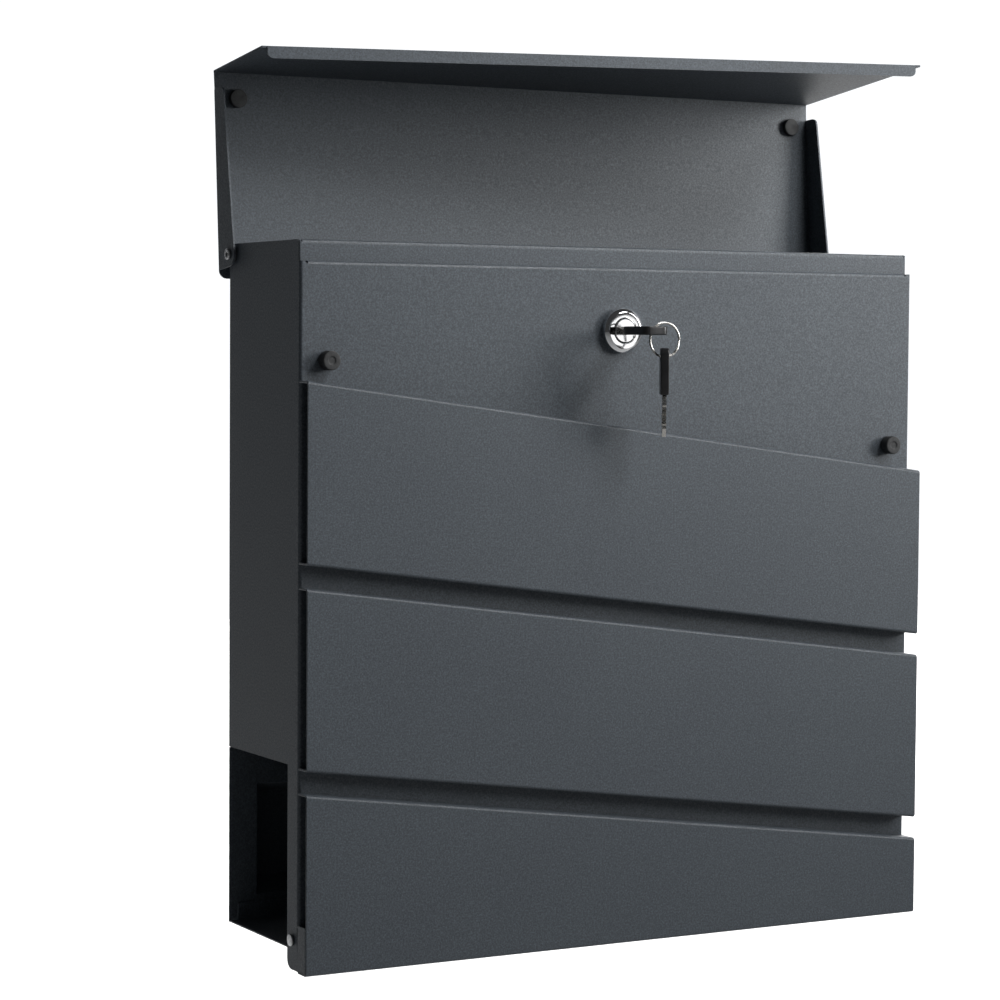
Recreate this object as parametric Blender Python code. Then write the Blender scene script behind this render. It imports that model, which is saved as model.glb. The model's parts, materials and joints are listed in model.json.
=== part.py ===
"""Wall mounted mailbox of folded steel sheet, with a newspaper compartment below.

Every piece is modelled in body coordinates and parented under the empty "mailbox":
x runs to the right from the middle of the box, y runs backwards from the front face of
the top rail, and z runs up from the bottom of the box. The empty then moves the whole
box so that the origin is the middle of the face that rests on the wall.

The lid is modelled as it stands open, leaning back. The door is closed and unlocked,
with its key in the lock and a spare key hanging from the same ring.
"""
import math

import bmesh
import bpy
from mathutils import Matrix, Vector

MM = 0.001

# ---------------------------------------------------------------- driving dimensions
# Box
BODY_WIDTH = 369 * MM            # outside of one side wall to the outside of the other
BODY_HEIGHT = 365 * MM
BODY_DEPTH = 86 * MM             # front face of the rail to the back of the back panel
SHEET = 1.0 * MM                 # steel sheet of the box, door, slats and lid
BEND_RADIUS = 1.6 * MM           # outside radius of a folded edge
BEND_SEGMENTS = 3
GAP = 0.3 * MM                   # between pieces that touch or are welded
WALL_RETURN = 10 * MM            # front edge of a side wall, folded inwards

# Pressed pans of the back panel, which hold the box off the wall
SPACER_SLOPE = 7 * MM            # run of a pan's sloping sides
SPACER_INSET = 15 * MM           # side wall to the rim of a pan
SPACER_RIM = 2 * MM              # strip round a pan that its bend may shape
UPPER_PAN_UP = 22 * MM           # top of the side opening up to the upper pan
UPPER_PAN_DROP = 29 * MM         # top of the box down to the upper pan
LOWER_PAN_UP = 13 * MM           # compartment's floor up to the lower pan
LOWER_PAN_DROP = 20 * MM         # top of the side opening down to the lower pan
FIXING_HOLE_RADIUS = 3.5 * MM
FIXING_HOLE_X = 130 * MM
FIXING_HOLE_DROP = 30 * MM       # top of the upper pan down to its holes

# Newspaper compartment
OPENING_TOP = 102.8 * MM         # top of the cut-out in the side walls
COLUMN_DEPTH = 12.5 * MM         # front column that is left beside the cut-out
COLUMN_CORNER = 5 * MM
FLOOR_HEIGHT = 10.2 * MM         # underside of the compartment's floor
FLOOR_EDGE = 10 * MM             # its rear edge, turned up
FLOOR_FRONT_EDGE = 12 * MM

# Letter shelf
SHELF_EDGE = 10 * MM             # its side and rear edges, turned up
SHELF_FRONT_EDGE = 16 * MM
CORNER_RELIEF = 3 * MM           # cut away where two turned-up edges meet

# Top rail
RAIL_FACE = 30 * MM
RAIL_DEPTH = 10 * MM
RAIL_BACK = 22 * MM              # rear leg, which the lock's cam closes behind

# Door
DOOR_STANDOFF = 2.5 * MM         # rail face to the inside of the door
DOOR_SIDE_GAP = 0.4 * MM         # side wall to the inside of the door's side edge
DOOR_RETURN = 4.7 * MM           # side edge folded back over the wall
DOOR_HEM = 3.0 * MM              # top and bottom edges folded back
DOOR_TOP_DROP = 10.6 * MM        # top of the box down to the top of the door

# Slats
SLAT_PROUD = 10.4 * MM           # door face to slat face
SLAT_OVERHANG = 0.4 * MM         # slat end past the door's side edge
SLAT_SLOPE = math.radians(7.5)   # the slats and the lid's edge fall to the right
SLATS = ("slat_bottom", "slat_middle", "slat_top")
SLAT_GROOVE = 11.5 * MM          # between slats, and from the top slat to the shut lid

# Door hinge
HINGE_BACK = 6.6 * MM            # behind the rail face
HINGE_UP = 15 * MM               # above the bottom of the box
BRACKET_SHEET = 1.5 * MM
BRACKET_LEAF = 13 * MM
BRACKET_EYE = 5.2 * MM           # radius round the hinge rivet
BRACKET_SIDE_GAP = 0.6 * MM      # side wall to the bracket
BRACKET_CLEARANCE = 0.7 * MM     # bracket of the open door to the compartment's floor

# Lid
LID_PIVOT_DROP = 5.4 * MM        # top of the box down to the lid's axis
LID_PIVOT_IN = 4.5 * MM          # back of the box forward to the lid's axis
LID_LEAN = math.radians(4)       # open lid leans back past upright
LID_BEND = math.radians(93)      # between the lid's panel and its front flap
LID_OFFSET = 13 * MM             # axis to the inside of the panel
LID_PROUD = 2.5 * MM             # slat face to the outside of the shut lid's flap
LID_WALL_CLEARANCE = 1.25 * MM   # open lid's bend to the wall behind
LID_TAIL = 11.5 * MM             # panel below the axis
LID_CLEARANCE = 1.5 * MM         # side wall to the inside of the lid's flange
LID_FLAP_LEFT = 61.7 * MM        # flap length at its short, left end
LID_LIP = 6.3 * MM
LID_LIP_INSET = 3 * MM
LID_FLANGE_TOP = 12 * MM
LID_FLANGE_START = 9 * MM        # plain edge between the bend and the flange
LID_EAR_RADIUS = 6.2 * MM

# Rubber bumpers
BUMPER_RADIUS = 4.9 * MM
LID_BUMPER_FROM_BEND = 13.5 * MM
LID_BUMPER_IN = 7.5 * MM         # from the lid's edge
DOOR_BUMPER_IN = 13.2 * MM       # from the side wall
BUMPER_STEM = 2.0 * MM
BUMPER_TOUCH = 0.25 * MM         # left when the lid is shut

# Rivets
LID_RIVET_RADIUS = 1.7 * MM
LID_RIVET_HEAD = 2.9 * MM
DOOR_RIVET_RADIUS = 1.9 * MM
DOOR_RIVET_HEAD = 3.1 * MM
RIVET_HEAD_HEIGHT = 1.2 * MM

# Cam lock
LOCK_X = -1.5 * MM
PLUG_RADIUS = 6.4 * MM
PLUG_COLLAR_LIP = 1.8 * MM       # collar past the plug
PLUG_COLLAR = 1.6 * MM
LOCK_WALL = 2.8 * MM             # lock body round the plug
LOCK_FLAT_WALL = 1.5 * MM        # the same at its two flats
LOCK_ROSETTE_LIP = 2.1 * MM      # rosette past the lock body
LOCK_ROSETTE_HEIGHT = 4.6 * MM
LOCK_ROSETTE_BEVEL = 2.0 * MM
NUT_WALL = 1.7 * MM              # nut at its flats
NUT_THICKNESS = 3.5 * MM
NUT_CLEARANCE = 2.0 * MM         # nut to the foot of the rail
DRIVE_SIZE = 7.6 * MM            # square end that turns the cam
CAM_SHEET = 1.6 * MM
CAM_CLEARANCE = 0.5 * MM         # rail's rear leg to the cam
CAM_WIDTH = 14 * MM
CAM_HOLD = 7.5 * MM              # cam's tip past the foot of the rail's rear leg when locked
CAM_WASHER = 1.0 * MM
CAM_SCREW_RADIUS = 1.7 * MM
CAM_SCREW_HEAD = 3.6 * MM

# Keys
KEY_BLADE_THICKNESS = 2.0 * MM
KEY_BLADE_WIDTH = 7.4 * MM
KEY_BLADE_INSERTED = 14.5 * MM   # inside the plug
KEY_SHOULDER = 7.2 * MM          # plug face to the key's head
KEY_HEAD_LENGTH = 24.2 * MM
KEY_HEAD_WIDTH = 14.4 * MM
KEY_HEAD_THICKNESS = 4.4 * MM
KEY_HOLE_RADIUS = 3.1 * MM
KEY_HOLE_IN = 4.7 * MM           # hole centre to the head's end
KEY_TANG = 12 * MM               # blade held inside the head
RING_RADIUS = 8.7 * MM           # centre line
RING_WIRE = 0.6 * MM
RING_HANG = math.radians(33.5)   # ring centre below the hole's level
SPARE_TURN = math.radians(-29)   # spare key turned about its hanging line

# ---------------------------------------------------------------- worked-out places
HALF_WIDTH = BODY_WIDTH / 2
INSIDE = HALF_WIDTH - SHEET - GAP

DOOR_INSIDE = -DOOR_STANDOFF
DOOR_FACE = DOOR_INSIDE - SHEET
DOOR_TOP = BODY_HEIGHT - DOOR_TOP_DROP
DOOR_HALF = HALF_WIDTH + DOOR_SIDE_GAP + SHEET
FLOOR_FRONT = COLUMN_DEPTH + GAP
BRACKET_HALF = FLOOR_FRONT - BRACKET_CLEARANCE - HINGE_BACK

SLAT_FACE = DOOR_FACE - SLAT_PROUD
SLAT_HALF = DOOR_HALF + SLAT_OVERHANG
SLAT_FALL = math.tan(SLAT_SLOPE)

LID_PIVOT = Vector((0, BODY_DEPTH - LID_PIVOT_IN, BODY_HEIGHT - LID_PIVOT_DROP))
LID_HALF = HALF_WIDTH + LID_CLEARANCE + SHEET
LID_OUTER = LID_OFFSET + SHEET   # axis to the outside of the panel
# The shut lid's flap hangs straight down, so its panel falls forward by what the bend
# opens past a right angle. The panel is as long as its flap needs to clear the slats.
LID_SHUT_FALL = LID_BEND - math.radians(90)
LID_BEND_UP = (LID_PIVOT.y - SLAT_FACE + LID_PROUD - LID_OUTER * math.sin(LID_SHUT_FALL)) / math.cos(
    LID_SHUT_FALL)               # axis up to the outside of the bend
LID_PANEL = LID_BEND_UP - SHEET  # axis up to the inside of the bend
LID_SHUT_TOP = LID_PIVOT.z - LID_BEND_UP * math.sin(LID_SHUT_FALL) + LID_OUTER * math.cos(LID_SHUT_FALL)

# The pans hold the box so far off the wall that the open lid clears it.
SPACER_DEPTH = (LID_OUTER * math.cos(LID_LEAN) + LID_BEND_UP * math.sin(LID_LEAN) - LID_PIVOT_IN
                + LID_WALL_CLEARANCE)
WALL_PLANE = BODY_DEPTH + SPACER_DEPTH
UPPER_PAN = (OPENING_TOP + UPPER_PAN_UP, BODY_HEIGHT - UPPER_PAN_DROP)
LOWER_PAN = (FLOOR_HEIGHT + LOWER_PAN_UP, OPENING_TOP - LOWER_PAN_DROP)
PAN_RIM = HALF_WIDTH - SPACER_INSET
UPPER_HOLES = UPPER_PAN[1] - FIXING_HOLE_DROP
LOWER_HOLES = (LOWER_PAN[0] + LOWER_PAN[1]) / 2

# Equal slats and grooves fill the door from its foot to the shut lid's slanting edge.
SLAT_TOP_LEFT = LID_SHUT_TOP - LID_FLAP_LEFT - (LID_HALF - SLAT_HALF) * SLAT_FALL - SLAT_GROOVE
SLAT_PITCH = (SLAT_TOP_LEFT + SLAT_GROOVE) / len(SLATS)
SLAT_HEIGHT = SLAT_PITCH - SLAT_GROOVE

LOCK_BODY_RADIUS = PLUG_RADIUS + GAP + LOCK_WALL
LOCK_BODY_FLAT = PLUG_RADIUS + GAP + LOCK_FLAT_WALL
LOCK_ROSETTE_RADIUS = LOCK_BODY_RADIUS + LOCK_ROSETTE_LIP
NUT_FLAT = LOCK_BODY_RADIUS + GAP + NUT_WALL
# The lock sits as high as its nut allows below the rail, and its cam reaches up behind
# the rail's rear leg.
LOCK_DROP = RAIL_FACE + NUT_CLEARANCE + NUT_FLAT
LOCK_HEIGHT = BODY_HEIGHT - LOCK_DROP
CAM_REACH = LOCK_DROP - RAIL_BACK + CAM_HOLD
ROSETTE_BACK = DOOR_FACE - GAP
ROSETTE_FRONT = ROSETTE_BACK - LOCK_ROSETTE_HEIGHT
PLUG_FRONT = ROSETTE_FRONT - GAP
CAM_FRONT = RAIL_DEPTH + CAM_CLEARANCE
CAM_BACK = CAM_FRONT + CAM_SHEET
PLUG_COLLAR_END = CAM_FRONT - GAP
LOCK_BODY_END = PLUG_COLLAR_END - PLUG_COLLAR - GAP
LOCK_BODY_LENGTH = LOCK_BODY_END - ROSETTE_BACK
KEY_HEAD_FRONT = PLUG_FRONT - KEY_SHOULDER
KEY_HEAD_END = KEY_HEAD_FRONT - KEY_HEAD_LENGTH
KEY_HOLE = Vector((LOCK_X, KEY_HEAD_END + KEY_HOLE_IN, LOCK_HEIGHT))
RING_CENTRE = KEY_HOLE + Vector((math.cos(RING_HANG), 0, -math.sin(RING_HANG))) * RING_RADIUS
SPARE_HOLE = RING_CENTRE - Vector((0, 0, RING_RADIUS))

ORIGIN = Vector((0, -WALL_PLANE, -(UPPER_PAN[0] + UPPER_PAN[1]) / 2))


# ---------------------------------------------------------------- scene and materials
def clear_scene():
    for obj in list(bpy.data.objects):
        bpy.data.objects.remove(obj, do_unlink=True)


def make_material(name, colour, roughness, metallic):
    material = bpy.data.materials.new(name)
    material.use_nodes = True
    shader = material.node_tree.nodes["Principled BSDF"]
    shader.inputs["Base Color"].default_value = (*colour, 1)
    shader.inputs["Roughness"].default_value = roughness
    shader.inputs["Metallic"].default_value = metallic
    return material


def make_empty(name, location, parent=None, rotation=(0, 0, 0)):
    empty = bpy.data.objects.new(name, None)
    bpy.context.scene.collection.objects.link(empty)
    empty.parent = parent
    empty.location = location
    empty.rotation_euler = rotation
    return empty


# ---------------------------------------------------------------- building blocks
def add_piece(name, bm, material, parent, location=(0, 0, 0), rotation=(0, 0, 0), smooth=False):
    """Turns a bmesh into a named object under its parent."""
    bmesh.ops.recalc_face_normals(bm, faces=bm.faces)
    mesh = bpy.data.meshes.new(name)
    bm.to_mesh(mesh)
    bm.free()
    mesh.materials.append(material)
    if smooth:
        mesh.shade_smooth()
        mesh.set_sharp_from_angle(angle=math.radians(35))
    obj = bpy.data.objects.new(name, mesh)
    bpy.context.scene.collection.objects.link(obj)
    obj.parent = parent
    obj.location = location
    obj.rotation_euler = rotation
    return obj


def surface(faces):
    """A bmesh of polygons given as lists of points; equal points are shared."""
    bm = bmesh.new()
    verts = {}
    for face in faces:
        corners = []
        for point in face:
            key = tuple(round(value / (0.001 * MM)) for value in point)
            if key not in verts:
                verts[key] = bm.verts.new(point)
            corners.append(verts[key])
        bm.faces.new(corners)
    return bm


def add_sheet(name, faces, material, parent, bend=BEND_RADIUS, thickness=SHEET, outward=None, **place):
    """Folded sheet: the faces are its outer side, and the metal lies behind them.

    outward is a direction that the first face looks in.
    """
    bm = surface(faces)
    bmesh.ops.recalc_face_normals(bm, faces=bm.faces)
    bm.faces.ensure_lookup_table()
    bm.normal_update()
    if bm.faces[0].normal.dot(Vector(outward)) < 0:
        bmesh.ops.reverse_faces(bm, faces=bm.faces)
    mesh = bpy.data.meshes.new(name)
    bm.to_mesh(mesh)
    bm.free()
    mesh.materials.append(material)
    obj = bpy.data.objects.new(name, mesh)
    bpy.context.scene.collection.objects.link(obj)
    obj.parent = parent
    obj.location = place.get("location", (0, 0, 0))
    obj.rotation_euler = place.get("rotation", (0, 0, 0))
    if bend:
        folds = obj.modifiers.new("Folds", "BEVEL")
        folds.width = bend
        folds.segments = BEND_SEGMENTS
        folds.limit_method = "ANGLE"
        folds.angle_limit = math.radians(20)
    metal = obj.modifiers.new("Metal", "SOLIDIFY")
    metal.thickness = thickness
    metal.offset = -1
    metal.use_even_offset = True
    return obj


def extrude_outline(outline, depth):
    """A prism: the outline lies in local XY, and the prism runs along +Z by depth."""
    bm = bmesh.new()
    face = bm.faces.new([bm.verts.new((x, y, 0)) for x, y in outline])
    grown = bmesh.ops.extrude_face_region(bm, geom=[face])
    verts = [item for item in grown["geom"] if isinstance(item, bmesh.types.BMVert)]
    bmesh.ops.translate(bm, verts=verts, vec=(0, 0, depth))
    return bm


def arc(centre, radius, start, end, steps):
    """Points on an arc, angles in degrees, both ends included."""
    points = []
    for step in range(steps + 1):
        angle = math.radians(start + (end - start) * step / steps)
        points.append((centre[0] + radius * math.cos(angle), centre[1] + radius * math.sin(angle)))
    return points


def turned(profile, segments=32):
    """A closed round solid about local Z; the profile is (radius, height) from axis to axis."""
    bm = bmesh.new()
    verts = [bm.verts.new((radius, 0, height)) for radius, height in profile]
    edges = [bm.edges.new(pair) for pair in zip(verts, verts[1:])]
    if profile[0][0] > 0 or profile[-1][0] > 0:
        edges.append(bm.edges.new((verts[-1], verts[0])))
    bmesh.ops.spin(bm, geom=verts + edges, cent=(0, 0, 0), axis=(0, 0, 1), angle=math.tau,
                   steps=segments, use_merge=True)
    bmesh.ops.remove_doubles(bm, verts=bm.verts, dist=0.001 * MM)
    return bm


def add_cutter(name, bm, parent, location, rotation=(0, 0, 0)):
    """A hidden solid that a Boolean takes away from a piece."""
    bmesh.ops.recalc_face_normals(bm, faces=bm.faces)
    mesh = bpy.data.meshes.new(name)
    bm.to_mesh(mesh)
    bm.free()
    obj = bpy.data.objects.new(name, mesh)
    bpy.context.scene.collection.objects.link(obj)
    obj.parent = parent
    obj.location = location
    obj.rotation_euler = rotation
    obj.hide_render = True
    obj.display_type = "WIRE"
    return obj


def cut(piece, cutter):
    modifier = piece.modifiers.new("Cut " + cutter.name, "BOOLEAN")
    modifier.operation = "DIFFERENCE"
    modifier.solver = "EXACT"
    modifier.object = cutter


def cylinder(radius, length, segments=24):
    """A plain cylinder centred on the origin, along local Z."""
    bm = bmesh.new()
    bmesh.ops.create_cone(bm, cap_ends=True, segments=segments, radius1=radius, radius2=radius,
                          depth=length)
    return bm


ALONG_X = (0, math.radians(90), 0)
ALONG_Y = (math.radians(-90), 0, 0)     # local +Z points backwards


# ---------------------------------------------------------------- box
def add_side_wall(name, side, steel, body):
    """Side wall with a newspaper cut-out, a front column and a folded front edge."""
    outer = side * HALF_WIDTH
    rail_foot = BODY_HEIGHT - RAIL_FACE - GAP
    behind_rail = SHEET + GAP
    return_foot = HINGE_UP + BRACKET_EYE + 6 * MM
    foot_corner = arc((COLUMN_DEPTH - COLUMN_CORNER, COLUMN_CORNER), COLUMN_CORNER, -90, 0, 5)
    outline = [(0, 0), *foot_corner, (COLUMN_DEPTH, OPENING_TOP), (BODY_DEPTH, OPENING_TOP),
               (BODY_DEPTH, BODY_HEIGHT), (behind_rail, BODY_HEIGHT), (behind_rail, rail_foot),
               (0, rail_foot), (0, return_foot)]
    wall = [(outer, y, z) for y, z in outline]
    inner = outer - side * (SHEET + WALL_RETURN)
    front_edge = [(outer, 0, return_foot), (outer, 0, rail_foot), (inner, 0, rail_foot),
                  (inner, 0, return_foot)]
    piece = add_sheet(name, [wall, front_edge], steel, body, outward=(side, 0, 0))
    lid_hole = add_cutter(name + "_lid_hole", cylinder(LID_RIVET_RADIUS + GAP, 10 * MM), body,
                          (outer, LID_PIVOT.y, LID_PIVOT.z), ALONG_X)
    door_hole = add_cutter(name + "_door_hole", cylinder(DOOR_RIVET_RADIUS + GAP, 10 * MM), body,
                           (outer, HINGE_BACK, HINGE_UP), ALONG_X)
    cut(piece, lid_hole)
    cut(piece, door_hole)
    return piece


def add_back_panel(steel, body):
    """Back panel with two pressed pans, between the walls above and full width below."""
    wide_top = OPENING_TOP - GAP
    pan_floor = PAN_RIM - SPACER_SLOPE
    right = [pan_floor, PAN_RIM, PAN_RIM + SPACER_RIM, INSIDE, HALF_WIDTH]
    x_lines = [-x for x in reversed(right)] + right
    z_lines = [FLOOR_HEIGHT]
    for low, high in (LOWER_PAN, UPPER_PAN):
        z_lines += [low - SPACER_RIM, low, low + SPACER_SLOPE, high - SPACER_SLOPE, high,
                    high + SPACER_RIM]
        if high < wide_top:
            z_lines.append(wide_top)
    z_lines.append(BODY_HEIGHT)

    def point(x, z):
        pressed = abs(x) <= pan_floor and any(
            low + SPACER_SLOPE <= z <= high - SPACER_SLOPE for low, high in (LOWER_PAN, UPPER_PAN))
        return (x, WALL_PLANE if pressed else BODY_DEPTH, z)

    faces = []
    for x0, x1 in zip(x_lines, x_lines[1:]):
        for z0, z1 in zip(z_lines, z_lines[1:]):
            if max(abs(x0), abs(x1)) > INSIDE and z1 > wide_top:
                continue
            ring = [point(x0, z0), point(x1, z0), point(x1, z1), point(x0, z1)]
            pressed = [corner for corner in range(4) if ring[corner][1] > BODY_DEPTH]
            if len(pressed) != 1:
                faces.append(ring)
                continue
            # A pan's corner is mitred from its rim to its floor.
            high = pressed[0]
            faces.append([ring[high], ring[high - 3], ring[high - 2]])
            faces.append([ring[high], ring[high - 2], ring[high - 1]])
    piece = add_sheet("back_panel", faces, steel, body, bend=0, outward=(0, 1, 0))
    for x in (-FIXING_HOLE_X, FIXING_HOLE_X):
        for label, z in (("upper", UPPER_HOLES), ("lower", LOWER_HOLES)):
            hole = add_cutter("back_hole_%s_%d" % (label, x > 0), cylinder(FIXING_HOLE_RADIUS, 10 * MM),
                              body, (x, WALL_PLANE, z), ALONG_Y)
            cut(piece, hole)
    return piece


def add_top_rail(steel, body):
    """Front edge of the letter opening: a face across the box, a top and a rear leg."""
    foot = BODY_HEIGHT - RAIL_FACE
    leg_foot = BODY_HEIGHT - RAIL_BACK
    face = [(-HALF_WIDTH, 0, foot), (HALF_WIDTH, 0, foot), (HALF_WIDTH, 0, BODY_HEIGHT),
            (INSIDE, 0, BODY_HEIGHT), (-INSIDE, 0, BODY_HEIGHT), (-HALF_WIDTH, 0, BODY_HEIGHT)]
    top = [(-INSIDE, 0, BODY_HEIGHT), (INSIDE, 0, BODY_HEIGHT), (INSIDE, RAIL_DEPTH, BODY_HEIGHT),
           (-INSIDE, RAIL_DEPTH, BODY_HEIGHT)]
    leg = [(-INSIDE, RAIL_DEPTH, BODY_HEIGHT), (INSIDE, RAIL_DEPTH, BODY_HEIGHT),
           (INSIDE, RAIL_DEPTH, leg_foot), (-INSIDE, RAIL_DEPTH, leg_foot)]
    return add_sheet("top_rail", [face, top, leg], steel, body, outward=(0, -1, 0))


def add_letter_shelf(steel, body):
    """Floor of the letter compartment, a tray with its four edges turned up."""
    low = OPENING_TOP + GAP + 0.1 * MM
    front = SHEET + GAP
    back = BODY_DEPTH - SHEET - GAP
    side_in = INSIDE - CORNER_RELIEF
    front_in = front + CORNER_RELIEF
    back_in = back - CORNER_RELIEF
    floor = [(-side_in, front, low), (side_in, front, low), (side_in, front_in, low),
             (INSIDE, front_in, low), (INSIDE, back_in, low), (side_in, back_in, low),
             (side_in, back, low), (-side_in, back, low), (-side_in, back_in, low),
             (-INSIDE, back_in, low), (-INSIDE, front_in, low), (-side_in, front_in, low)]
    faces = [floor]
    edges = ((0, 1, SHELF_FRONT_EDGE), (3, 4, SHELF_EDGE), (6, 7, SHELF_EDGE), (9, 10, SHELF_EDGE))
    for start, end, up in edges:
        a, b = floor[start], floor[end]
        faces.append([a, b, (b[0], b[1], low + up), (a[0], a[1], low + up)])
    return add_sheet("letter_shelf", faces, steel, body, outward=(0, 0, -1))


def add_newspaper_floor(steel, body):
    """Floor of the newspaper compartment, open at both ends, with a front and a rear edge up."""
    low = FLOOR_HEIGHT
    front = SHEET + GAP
    back = BODY_DEPTH - SHEET - GAP
    # Clear of the hinge brackets, which turn beside the columns.
    neck = INSIDE - BRACKET_LEAF - 4 * MM
    lip = low + FLOOR_FRONT_EDGE
    ear_foot = HINGE_UP + BRACKET_EYE + 7 * MM
    ear_top = ear_foot + 18 * MM
    ear_in = neck - 14 * MM
    rear_in = INSIDE - CORNER_RELIEF
    floor = [(-neck, front, low), (neck, front, low), (neck, FLOOR_FRONT, low),
             (HALF_WIDTH, FLOOR_FRONT, low), (HALF_WIDTH, back, low), (rear_in, back, low),
             (-rear_in, back, low), (-HALF_WIDTH, back, low), (-HALF_WIDTH, FLOOR_FRONT, low),
             (-neck, FLOOR_FRONT, low)]
    lip_half = [(neck, low), (neck, ear_foot), (INSIDE, ear_foot), (INSIDE, ear_top),
                (ear_in, ear_top), (ear_in, lip)]
    front_edge = [(x, front, z) for x, z in lip_half]
    front_edge += [(-x, front, z) for x, z in reversed(lip_half)]
    rear_edge = [(rear_in, back, low), (-rear_in, back, low), (-rear_in, back, low + FLOOR_EDGE),
                 (rear_in, back, low + FLOOR_EDGE)]
    return add_sheet("newspaper_floor", [floor, front_edge, rear_edge], steel, body,
                     outward=(0, 0, -1))


# ---------------------------------------------------------------- door
def add_door_panel(steel, door):
    """Door pan: side edges folded over the walls, top and bottom hems, and a lock hole."""
    half = DOOR_HALF
    hem_half = HALF_WIDTH - 3 * MM
    notch_half = HALF_WIDTH - SHEET - 1 * MM
    # Above this height the door sheet never meets the column as it swings down.
    notch_top = HINGE_UP + HINGE_BACK + 1.2 * MM
    face = [(-notch_half, 0), (-hem_half, 0), (hem_half, 0), (notch_half, 0), (notch_half, notch_top),
            (half, notch_top), (half, DOOR_TOP), (hem_half, DOOR_TOP), (-hem_half, DOOR_TOP),
            (-half, DOOR_TOP), (-half, notch_top), (-notch_half, notch_top)]
    faces = [[(x, DOOR_FACE, z) for x, z in face]]
    for side in (-1, 1):
        faces.append([(side * half, DOOR_FACE, notch_top), (side * half, DOOR_FACE, DOOR_TOP),
                      (side * half, DOOR_FACE + DOOR_RETURN, DOOR_TOP),
                      (side * half, DOOR_FACE + DOOR_RETURN, notch_top)])
    for z in (0, DOOR_TOP):
        faces.append([(-hem_half, DOOR_FACE, z), (hem_half, DOOR_FACE, z),
                      (hem_half, DOOR_FACE + DOOR_HEM, z), (-hem_half, DOOR_FACE + DOOR_HEM, z)])
    piece = add_sheet("door_panel", faces, steel, door, outward=(0, -1, 0), location=-door.location)
    lock_hole = add_cutter("door_lock_hole", lock_body_outline(GAP, 8 * MM), door,
                           Vector((LOCK_X, DOOR_FACE - 4 * MM, LOCK_HEIGHT)) - door.location, ALONG_Y)
    cut(piece, lock_hole)
    for label, x, z in door_bumper_places():
        hole = add_cutter("door_bumper_hole_" + label, cylinder(BUMPER_STEM + GAP, 8 * MM), door,
                          Vector((x, DOOR_FACE, z)) - door.location, ALONG_Y)
        cut(piece, hole)
    return piece


def slat_top_at(x, number):
    """Height of a slat's top edge; slat 0 is the lowest."""
    return SLAT_HEIGHT + number * SLAT_PITCH - (x + SLAT_HALF) * SLAT_FALL


def add_slat(name, number, steel, door):
    """Raised slat with slanting edges folded back to the door; its ends are open."""
    back = DOOR_FACE - GAP
    corners = []
    for x in (-SLAT_HALF, SLAT_HALF):
        top = slat_top_at(x, number)
        foot = 0 if number == 0 else top - SLAT_HEIGHT
        corners.append((x, foot, top))
    (x0, foot0, top0), (x1, foot1, top1) = corners
    face = [(x0, SLAT_FACE, foot0), (x1, SLAT_FACE, foot1), (x1, SLAT_FACE, top1), (x0, SLAT_FACE, top0)]
    faces = [face]
    for a, b in ((0, 1), (2, 3)):
        faces.append([face[a], face[b], (face[b][0], back, face[b][2]), (face[a][0], back, face[a][2])])
    return add_sheet(name, faces, steel, door, outward=(0, -1, 0), location=-door.location)


def add_hinge_bracket(name, side, steel, door):
    """Angle bracket behind the door, with an eye round the hinge rivet."""
    inside = HALF_WIDTH - SHEET - BRACKET_SIDE_GAP
    front = DOOR_INSIDE + GAP
    low = HINGE_UP - BRACKET_HALF
    high = HINGE_UP + BRACKET_HALF
    eye = arc((HINGE_BACK, HINGE_UP), BRACKET_EYE, -60, 60, 8)
    web = [(front, low), (front + 4 * MM, low), *eye, (front + 4 * MM, high), (front, high)]
    web_face = [(side * inside, y, z) for y, z in web]
    leaf = [(side * inside, front, low), (side * inside, front, high),
            (side * (inside - BRACKET_LEAF), front, high), (side * (inside - BRACKET_LEAF), front, low)]
    piece = add_sheet(name, [web_face, leaf], steel, door, thickness=BRACKET_SHEET,
                      bend=BRACKET_SHEET + 0.6 * MM, outward=(side, 0, 0), location=-door.location)
    hole = add_cutter(name + "_hole", cylinder(DOOR_RIVET_RADIUS + GAP, 12 * MM), door,
                      (side * inside, 0, 0), ALONG_X)
    cut(piece, hole)
    return piece


def door_bumper_places():
    """Left and right bumpers on the door, where the shut lid's lip comes to rest."""
    places = []
    for label, side in (("left", -1), ("right", 1)):
        x = side * (HALF_WIDTH - DOOR_BUMPER_IN)
        places.append((label, x, lid_edge_height(x)))
    return places


def lid_flap_length(x):
    """From the outside of the bend to the flap's slanting edge."""
    return LID_FLAP_LEFT + (x + LID_HALF) * SLAT_FALL


def lid_edge_height(x):
    """Middle of the lip's thickness when the lid is shut."""
    return LID_SHUT_TOP - lid_flap_length(x) + SHEET / 2


def add_door_bumper(label, x, z, rubber, door):
    """Push-in rubber bumper: a round head, a stem through the door and a bulb behind it."""
    lip_tip = SLAT_FACE - LID_PROUD + LID_LIP
    height = DOOR_FACE - GAP - (lip_tip + BUMPER_TOUCH)
    edge = 0.8 * MM
    behind = SHEET + 2 * GAP
    profile = [(0, -height), (BUMPER_RADIUS - edge, -height), (BUMPER_RADIUS, edge - height),
               (BUMPER_RADIUS, 0), (BUMPER_STEM, 0), (BUMPER_STEM, behind),
               (BUMPER_STEM + 0.9 * MM, behind), (BUMPER_STEM * 0.6, behind + 1.4 * MM),
               (0, behind + 1.4 * MM)]
    place = Vector((x, DOOR_FACE - GAP, z)) - door.location
    return add_piece("door_bumper_" + label, turned(profile, 28), rubber, door, place, ALONG_Y, True)


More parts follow.
